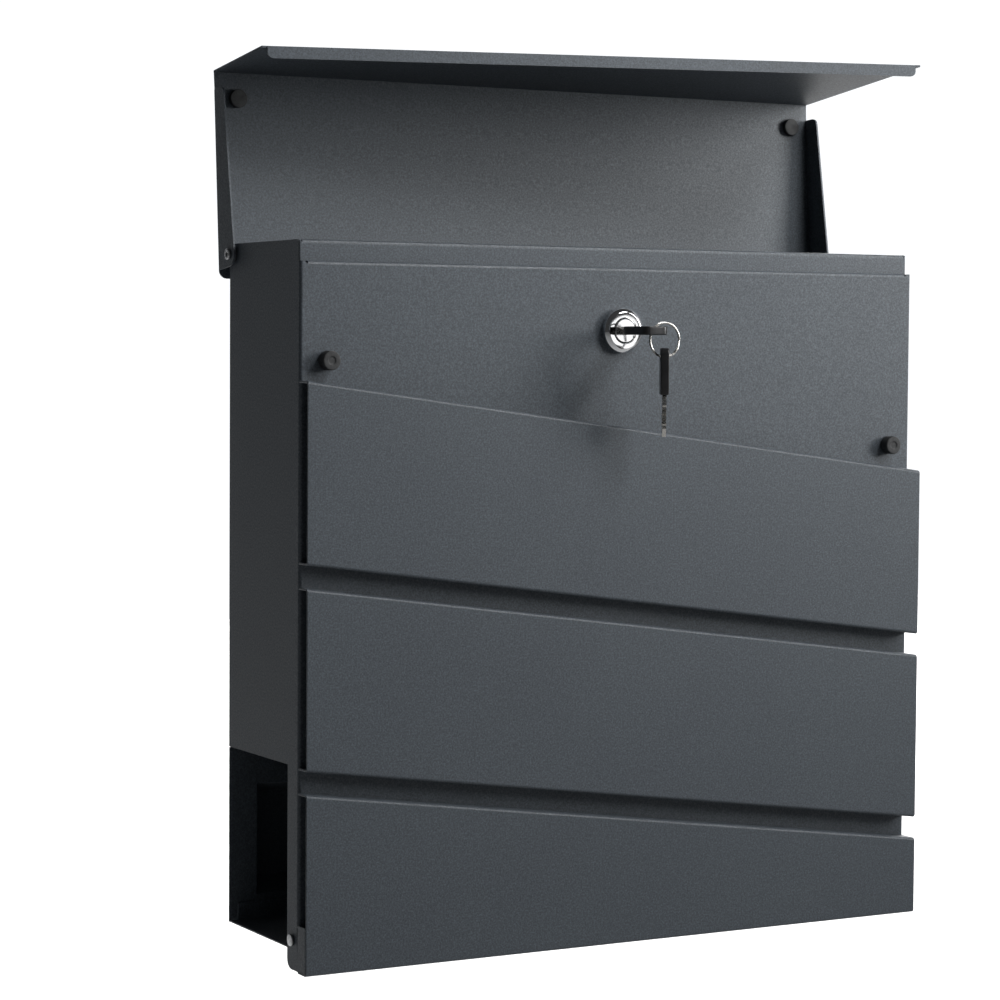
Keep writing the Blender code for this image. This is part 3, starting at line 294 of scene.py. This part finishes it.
def black_rubber():
    """Matt moulded rubber with a little dust in its pores."""
    tree = Tree("black_rubber")
    pores = tree.noise(1500, 3.0, 0.6)
    dust = tree.noise(330, 4.0, 0.65)
    colour = tree.ramp(dust, [(0.4, (0.018, 0.019, 0.020)), (0.72, (0.045, 0.047, 0.048))])
    roughness = tree.spread(pores, 0.3, 0.7, 0.58, 0.78)
    return tree.finish(colour, roughness, tree.bump(pores, 0.03 * MM, 0.6), 0.0)


def moulded_plastic(name, colour, gloss):
    """Injection moulded plastic with a fine spark-eroded grain."""
    tree = Tree(name)
    grain = tree.noise(2200, 2.0, 0.5)
    rubbed = tree.noise(150, 3.0, 0.5)
    tone = tree.ramp(rubbed, [(0.35, colour), (0.75, shade(colour, 1.7))])
    roughness = tree.spread(rubbed, 0.3, 0.7, gloss, gloss + 0.14)
    return tree.finish(tone, roughness, tree.bump(grain, 0.012 * MM, 0.45), 0.0)


def studio_floor():
    """Pale seamless board."""
    tree = Tree("studio_floor")
    paper = tree.noise(900, 2.0, 0.5)
    clouds = tree.noise(3, 2.0, 0.5)
    tone = tree.ramp(clouds, [(0.3, (0.84, 0.84, 0.84)), (0.7, (0.87, 0.87, 0.87))])
    roughness = tree.spread(paper, 0.3, 0.7, 0.75, 0.9)
    return tree.finish(tone, roughness, tree.bump(paper, 0.05 * MM, 0.2), 0.0)


ANTHRACITE = (0.0615, 0.0735, 0.0865)
coat = powder_coat("powder_coat", ANTHRACITE, 0.52)
# lighter, glossier copy of the coat for the rounded cut edges: a painted highlight along the edges, partly the
# thinner coat there
coat_edge_highlight = powder_coat("powder_coat_edge_highlight", shade(ANTHRACITE, 1.35), 0.44)
chrome = polished_chrome()
zinc = zinc_plate("zinc_plate", (0.60, 0.61, 0.62))
dark_zinc = zinc_plate("black_zinc", (0.075, 0.078, 0.082))
brass = brushed_metal("bright_brass", (0.72, 0.52, 0.24), (1, 1, 0.2))
nickel = brushed_metal("nickel_plate", (0.56, 0.55, 0.53), (0.25, 1, 1))
rubber = black_rubber()
plastic = moulded_plastic("key_plastic", (0.013, 0.013, 0.014), 0.26)
nylon = moulded_plastic("washer_nylon", (0.04, 0.04, 0.042), 0.45)


# ---------------------------------------------------------------- making pieces
def take_place(piece, node):
    """The piece stands for a frame's node: it rides on its body, and the node is hidden."""
    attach(piece, body_of_node[node])
    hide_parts(node)


def add_object(name, bm, materials, smooth=35):
    bmesh.ops.recalc_face_normals(bm, faces=bm.faces)
    mesh = bpy.data.meshes.new(name)
    bm.to_mesh(mesh)
    bm.free()
    for material in materials:
        mesh.materials.append(material)
    mesh.shade_smooth()
    mesh.set_sharp_from_angle(angle=math.radians(smooth))
    piece = bpy.data.objects.new(name, mesh)
    bpy.context.scene.collection.objects.link(piece)
    return piece


def refined(node, materials, edge):
    """A node's own shape with its facets joined, its cut edges rounded and its bends smooth."""
    bm = bmesh.new()
    bm.from_mesh(frame["nodes"][node].data)
    bmesh.ops.remove_doubles(bm, verts=bm.verts, dist=SAME_POINT)
    bmesh.ops.dissolve_limit(bm, angle_limit=SAME_PLANE, verts=bm.verts, edges=bm.edges)
    for face in bm.faces:
        face.material_index = 0
    old_normals = bm.loops.layers.float_vector.get("custom_normal")
    if old_normals:
        bm.loops.layers.float_vector.remove(old_normals)
    piece = add_object(node + "_look", bm, materials)
    if edge:
        rounding = piece.modifiers.new("Rounded edges", "BEVEL")
        rounding.width = edge
        rounding.segments = EDGE_STEPS
        rounding.limit_method = "ANGLE"
        rounding.angle_limit = SHARPEST_BEND
        # the rounded faces take the last material; on the sheets that is the lighter copy of the coat, a painted
        # edge highlight
        rounding.material = len(materials) - 1
    flat = piece.modifiers.new("Flat faces stay flat", "WEIGHTED_NORMAL")
    flat.keep_sharp = True
    flat.weight = 100
    take_place(piece, node)


def softened(points, radius, steps=4):
    """An open outline with its inner corners rounded off."""
    out = [points[0]]
    for before, corner, after in zip(points, points[1:], points[2:]):
        before, corner, after = Vector(before), Vector(corner), Vector(after)
        back, ahead = before - corner, after - corner
        reach = min(radius, back.length * 0.45, ahead.length * 0.45)
        start = corner + back.normalized() * reach
        end = corner + ahead.normalized() * reach
        for step in range(steps + 1):
            t = step / steps
            point = start * (1 - t) ** 2 + corner * 2 * t * (1 - t) + end * t * t
            out.append(tuple(point))
    out.append(points[-1])
    return out


def loft(loops, closed=False, caps=False):
    """Skin over loops of points; a loop of one point closes an end."""
    bm = bmesh.new()
    rows = [[bm.verts.new(point) for point in loop] for loop in loops]
    pairs = list(zip(rows, rows[1:]))
    if closed:
        pairs.append((rows[-1], rows[0]))
    for first, second in pairs:
        count = max(len(first), len(second))
        for number in range(count):
            after = (number + 1) % count
            corners = []
            for row, order in ((first, (number, after)), (second, (after, number))):
                corners += [row[0]] if len(row) == 1 else [row[place] for place in order]
            bm.faces.new(corners)
    if caps:
        bm.faces.new(rows[0])
        bm.faces.new(rows[-1])
    return bm


def turned(profile, segments, closed=False, flat_from=math.inf, flat=0):
    """Round solid about local Z from (radius, height) points.

    Above the height flat_from it has two flats across local Y, at the distance flat.
    """
    loops = []
    for radius, height in profile:
        if radius == 0:
            loops.append([(0, 0, height)])
            continue
        loop = []
        for number in range(segments):
            angle = math.tau * number / segments
            reach = radius
            if height > flat_from and radius > flat:
                reach = min(radius, flat / max(abs(math.sin(angle)), 1e-6))
            loop.append((reach * math.cos(angle), reach * math.sin(angle), height))
        loops.append(loop)
    return loft(loops, closed)


BACKWARDS = (math.radians(-90), 0, 0)    # local +Z points to the wall


def middle(node):
    low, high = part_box(node)
    return (low + high) / 2


# ---------------------------------------------------------------- sheets and small steel
SHEETS = [node for node, slot in slot_of_node.items() if slot == "powder_coat"]
for node in SHEETS:
    refined(node, [coat, coat_edge_highlight], SHEET_EDGE)
for node in ("hinge_bracket_left", "hinge_bracket_right"):
    refined(node, [dark_zinc], STAMPED_EDGE)
for node in ("lock_cam", "lock_nut", "cam_washer"):
    refined(node, [zinc], STAMPED_EDGE)
refined("cam_screw", [brass], SCREW_EDGE)
refined("lock_plug", [chrome], FINE_EDGE)
for node in ("lid_washer_left", "lid_washer_right"):
    refined(node, [nylon], FINE_EDGE)


def add_slat_foot_tab(label, side):
    """Small tab that closes the lowest slat's open end in front of the hinge."""
    low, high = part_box("slat_bottom")
    outer = low.x if side < 0 else high.x
    size = Vector((TAB_SHEET, high.y - low.y - SLAT_WALL - TAB_AIR, TAB_HEIGHT))
    bm = bmesh.new()
    bmesh.ops.create_cube(bm, size=1)
    bmesh.ops.scale(bm, verts=bm.verts, vec=size)
    piece = add_object("slat_foot_tab_" + label, bm, [coat])
    piece.location = (outer - side * (size.x + TAB_AIR) / 2, high.y - TAB_AIR - size.y / 2,
                      low.z + SLAT_WALL + size.z / 2)
    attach(piece, "door")


add_slat_foot_tab("left", -1)
add_slat_foot_tab("right", 1)


# ---------------------------------------------------------------- lock housing
def add_lock_housing():
    """Chromed rosette with a slanted rim, and the body with two flats behind it."""
    low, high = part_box("lock_housing")
    depth = high.y - low.y
    rosette = [(LOCK_BORE + LOCK_EDGE, 0), (LOCK_FACE_RADIUS, 0),
               (LOCK_ROSETTE_RADIUS, LOCK_RIM_DEPTH), (LOCK_ROSETTE_RADIUS, LOCK_ROSETTE_HEIGHT),
               (LOCK_BODY_RADIUS, LOCK_ROSETTE_HEIGHT)]
    body = [(LOCK_BODY_RADIUS, LOCK_ROSETTE_HEIGHT + LOCK_BODY_STEP),
            (LOCK_BODY_RADIUS, depth - LOCK_END_CHAMFER),
            (LOCK_BODY_RADIUS - LOCK_END_CHAMFER, depth), (LOCK_BORE, depth), (LOCK_BORE, LOCK_EDGE)]
    outline = softened(rosette, LOCK_EDGE) + body
    bm = turned(outline, 96, True, LOCK_ROSETTE_HEIGHT + LOCK_BODY_STEP / 2, LOCK_BODY_FLAT)
    piece = add_object("lock_housing_look", bm, [chrome], 30)
    piece.location = (joint_at["lock_turn"].x, low.y, joint_at["lock_turn"].z)
    piece.rotation_euler = BACKWARDS
    take_place(piece, "lock_housing")


add_lock_housing()


# ---------------------------------------------------------------- bumpers and rivets
def add_door_bumper(node):
    """Push-in bumper: a flat head with a rounded rim and a dimple, its stem, the bulb behind."""
    low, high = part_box(node)
    radius = (high.x - low.x) / 2
    depth = high.y - low.y
    head = DOOR_FACE - low.y - BUMPER_GAP
    outline = [(0, DIMPLE_DEPTH), (DIMPLE_RADIUS, DIMPLE_DEPTH), (DIMPLE_RIM, 0), (radius, 0),
               (radius, head), (BUMPER_STEM, head), (BUMPER_STEM, depth - BULB_LENGTH),
               (BUMPER_STEM + BULB_LIP, depth - BULB_LENGTH), (BULB_TIP, depth), (0, depth)]
    piece = add_object(node + "_look", turned(softened(outline, BUMPER_ROUNDING), 64), [rubber], 40)
    centre = middle(node)
    piece.location = (centre.x, low.y, centre.z)
    piece.rotation_euler = BACKWARDS
    take_place(piece, node)


def add_lid_bumper(node):
    """Stick-on pad with a rounded rim and a faint hollow, on the lid's inside."""
    low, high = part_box(node)
    radius = (high.x - low.x) / 2
    height = (high.y - low.y - 2 * radius * math.sin(LID_LEAN)) / math.cos(LID_LEAN)
    outline = [(0, 0), (radius, 0), (radius, height), (radius * PAD_HOLLOW_RADIUS, height),
               (0, height * PAD_HOLLOW)]
    bm = turned(softened(outline, PAD_ROUNDING), 64)
    bmesh.ops.translate(bm, verts=bm.verts, vec=(0, 0, -height / 2))
    piece = add_object(node + "_look", bm, [rubber], 40)
    piece.location = middle(node)
    piece.rotation_euler = (math.radians(90) - LID_LEAN, 0, 0)
    take_place(piece, node)


def add_rivet(node, side, pin, bore):
    """Rivet across a side wall: pressed inner head, pin, and an outer head, drilled or plain."""
    low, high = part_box(node)
    centre = middle(node)
    head = (high.z - low.z) / 2
    length = high.x - low.x
    outline = [(0, 0), (head, 0), (head, RIVET_HEAD), (pin, RIVET_HEAD), (pin, length - RIVET_HEAD),
               (head, length - RIVET_HEAD), (head, length)]
    if bore:
        bottom = length - LID_RIVET_BORE_DEPTH
        outline += [(bore, length), (bore, bottom), (0, bottom)]
    else:
        outline.append((0, length))
    piece = add_object(node + "_look", turned(softened(outline, RIVET_ROUNDING), 48), [zinc], 40)
    inner = low.x if side > 0 else high.x
    piece.location = (inner, centre.y, centre.z)
    piece.rotation_euler = (0, math.radians(90 * side), 0)
    take_place(piece, node)


for label, side in (("left", -1), ("right", 1)):
    add_door_bumper("door_bumper_" + label)
    add_lid_bumper("lid_bumper_" + label)
    add_rivet("lid_rivet_" + label, side, LID_RIVET_PIN, LID_RIVET_BORE)
    add_rivet("door_rivet_" + label, side, DOOR_RIVET_PIN, 0)


# ---------------------------------------------------------------- keys
def groove(first, second, slope):
    """Across a groove: (place, depth) points from the place first to the place second."""
    return [(first, 0), (first + slope, GROOVE_DEPTH), (second - slope, GROOVE_DEPTH), (second, 0)]


def blade_section(along, edge, back):
    """Cross-section of the blade: back edge, two offset grooves and the toothed edge."""
    thick = BLADE_THICKNESS / 2
    low, high = back + GROOVE_WALL, edge - GROOVE_WALL
    front = groove(-2.2 * MM, -0.8 * MM, 0.2 * MM)
    rear = groove(1.4 * MM, 0, -0.2 * MM)
    points = [(back, -thick)]
    points += [(min(max(x, low), high), depth - thick) for x, depth in front]
    points += [(edge, -thick), (edge, thick)]
    points += [(min(max(x, low), high), thick - depth) for x, depth in rear]
    points.append((back, thick))
    return [(x, along, z) for x, z in points]


def blade_mesh():
    """Blade along local +Y from the shoulder, with its teeth on local +X."""
    half = BLADE_WIDTH / 2
    tang = half - BLADE_TANG_INSET
    stations = [(-BLADE_TANG, tang, -tang), (0, tang, -tang), (BLADE_SHOULDER, half, -half)]
    for number, depth in enumerate(TOOTH_DEPTHS):
        place = FIRST_TOOTH + number * TOOTH_PITCH
        stations += [(place, half, -half), (place + 0.35 * TOOTH_PITCH, half - depth, -half),
                     (place + 0.65 * TOOTH_PITCH, half - depth, -half)]
    stations += [(FIRST_TOOTH + len(TOOTH_DEPTHS) * TOOTH_PITCH, half, -half),
                 (BLADE_REACH - BLADE_SLOPE, half * 0.75, -half),
                 (BLADE_REACH, BLADE_TIP, -BLADE_TIP)]
    return loft([blade_section(*station) for station in stations], caps=True)


def add_key(prefix, place):
    """Blade with milled grooves; the head keeps the frame's shape."""
    blade = add_object(prefix + "_blade_look", blade_mesh(), [nickel], 25)
    blade.matrix_world = place @ Matrix.Translation((0, KEY_HOLE_TO_SHOULDER, 0))
    take_place(blade, prefix + "_blade")
    refined(prefix + "_head", [plastic], 0)


key_hole = joint_at["ring_swing"]
ring_centre = joint_at["spare_key_swing"]
ring_radius = (ring_centre - key_hole).length
spare_hole = ring_centre - Vector((0, 0, ring_radius))
hang_down = Matrix.Rotation(math.radians(90), 4, "Y") @ Matrix.Rotation(math.radians(-90), 4, "Z")
spare_turn = Matrix.Rotation(SPARE_TURN, 4, "Z")
add_key("key", Matrix.Translation(key_hole))
add_key("spare_key", Matrix.Translation(spare_hole) @ spare_turn @ hang_down)


def wire_section(angle, radius, rise, share):
    """Flat-sided section of the ring's wire at an angle round the ring."""
    out = Vector((math.cos(angle), 0, math.sin(angle)))
    section = []
    for corner in range(WIRE_SIDES):
        turn = math.tau * (corner + 0.5) / WIRE_SIDES
        across = max(-0.5, min(0.5, WIRE_CORNER * math.cos(turn))) * WIRE_WIDTH
        through = max(-0.5, min(0.5, WIRE_CORNER * math.sin(turn))) * WIRE_THICKNESS * share
        section.append(out * (radius + across) + Vector((0, rise + through, 0)))
    return section


def add_split_ring():
    """Two turns of flattened spring wire, crossing over once, with thinned ends."""
    low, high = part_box("key_ring")
    radius = (high.x - low.x - WIRE_WIDTH) / 2
    step = (high.y - low.y - WIRE_THICKNESS) / 2
    loops = []
    for number in range(WIRE_STEPS + 1):
        angle = math.tau * WIRE_TURNS * number / WIRE_STEPS
        crossed = min(max((angle - math.tau + WIRE_CROSSING) / WIRE_CROSSING, 0), 1)
        rise = step * (2 * crossed * crossed * (3 - 2 * crossed) - 1)
        from_end = min(number, WIRE_STEPS - number, WIRE_END_STEPS) / WIRE_END_STEPS
        share = WIRE_END_THICKNESS + (1 - WIRE_END_THICKNESS) * from_end
        loops.append(wire_section(angle, radius, rise, share))
    ring = add_object("split_ring", loft(loops, caps=True), [nickel], 50)
    ring.location = middle("key_ring")
    take_place(ring, "key_ring")


add_split_ring()


# ---------------------------------------------------------------- studio
def add_floor():
    bm = bmesh.new()
    bmesh.ops.create_grid(bm, x_segments=1, y_segments=1, size=FLOOR_HALF)
    floor = add_object("floor", bm, [studio_floor()])
    floor.location = (0, 0, cad_box[0][2] - FLOOR_BELOW)


def add_softbox(name, place, aim, width, height, power, colour=(1, 1, 1), spread=180):
    """Area light, hidden from the camera, that looks at a point."""
    data = bpy.data.lights.new(name, "AREA")
    data.shape = "RECTANGLE"
    data.size = width
    data.size_y = height
    data.energy = power
    data.spread = math.radians(spread)
    data.color = colour
    light = bpy.data.objects.new(name, data)
    bpy.context.scene.collection.objects.link(light)
    light.location = place
    light.rotation_mode = "QUATERNION"
    light.rotation_quaternion = (Vector(place) - Vector(aim)).to_track_quat("Z", "Y")
    light.visible_camera = False


def add_world():
    """A dim room with a white backdrop straight behind the mailbox."""
    world = bpy.data.worlds.new("studio")
    world.use_nodes = True
    nodes = world.node_tree.nodes
    links = world.node_tree.links
    direction = nodes.new("ShaderNodeTexCoord")
    ahead = nodes.new("ShaderNodeVectorMath")
    ahead.operation = "DOT_PRODUCT"
    ahead.inputs[1].default_value = (math.sin(CAMERA_YAW), math.cos(CAMERA_YAW), 0)
    fade = nodes.new("ShaderNodeMapRange")
    fade.interpolation_type = "SMOOTHSTEP"
    fade.inputs["From Min"].default_value = math.cos(BACKDROP_END)
    fade.inputs["From Max"].default_value = math.cos(BACKDROP_FULL)
    fade.inputs["To Min"].default_value = ROOM_FRONT
    fade.inputs["To Max"].default_value = ROOM_BACK
    links.new(direction.outputs["Generated"], ahead.inputs[0])
    links.new(ahead.outputs["Value"], fade.inputs["Value"])
    links.new(fade.outputs["Result"], nodes["Background"].inputs["Strength"])
    nodes["Background"].inputs["Color"].default_value = (0.96, 0.98, 1, 1)
    bpy.context.scene.world = world


def add_camera():
    forward = Vector((math.sin(CAMERA_YAW) * math.cos(CAMERA_PITCH),
                      math.cos(CAMERA_YAW) * math.cos(CAMERA_PITCH), math.sin(CAMERA_PITCH)))
    level = Vector((math.cos(CAMERA_YAW), -math.sin(CAMERA_YAW), 0))
    upright = level.cross(forward)
    right = level * math.cos(CAMERA_ROLL) + upright * math.sin(CAMERA_ROLL)
    up = upright * math.cos(CAMERA_ROLL) - level * math.sin(CAMERA_ROLL)
    data = bpy.data.cameras.new("camera")
    data.lens = CAMERA_LENS
    data.sensor_width = CAMERA_SENSOR
    camera = bpy.data.objects.new("camera", data)
    bpy.context.scene.collection.objects.link(camera)
    turn = Matrix((right, up, -forward)).transposed()
    camera.matrix_world = Matrix.Translation(CAMERA_PLACE) @ turn.to_4x4()
    bpy.context.scene.camera = camera


add_floor()
add_world()
add_softbox("key_light", place=(0.5, -0.8, 1.0), aim=(0, 0, 0.3), width=0.45, height=0.45,
            power=3.0, spread=90)
add_softbox("right_light", place=(1.4, -1.0, 0.6), aim=(0.1, 0, 0.42), width=0.7, height=0.9,
            power=5.6, spread=75)
add_softbox("front_light", place=(-0.9, -3.0, 0.9), aim=(0, 0, 0), width=1.4, height=1.4,
            power=1.0, colour=(0.78, 0.9, 1.0))
add_softbox("lock_reflection", place=(1.25, -2.3, 0.0), aim=(0, -0.1, 0.09), width=0.4,
            height=0.4, power=0.7)
add_softbox("backdrop_light", place=(4.2, 6.2, 3.0), aim=(4.2, 6.2, 0), width=7.0, height=8.0,
            power=900)
add_camera()
bpy.context.scene.view_settings.view_transform = "Standard"
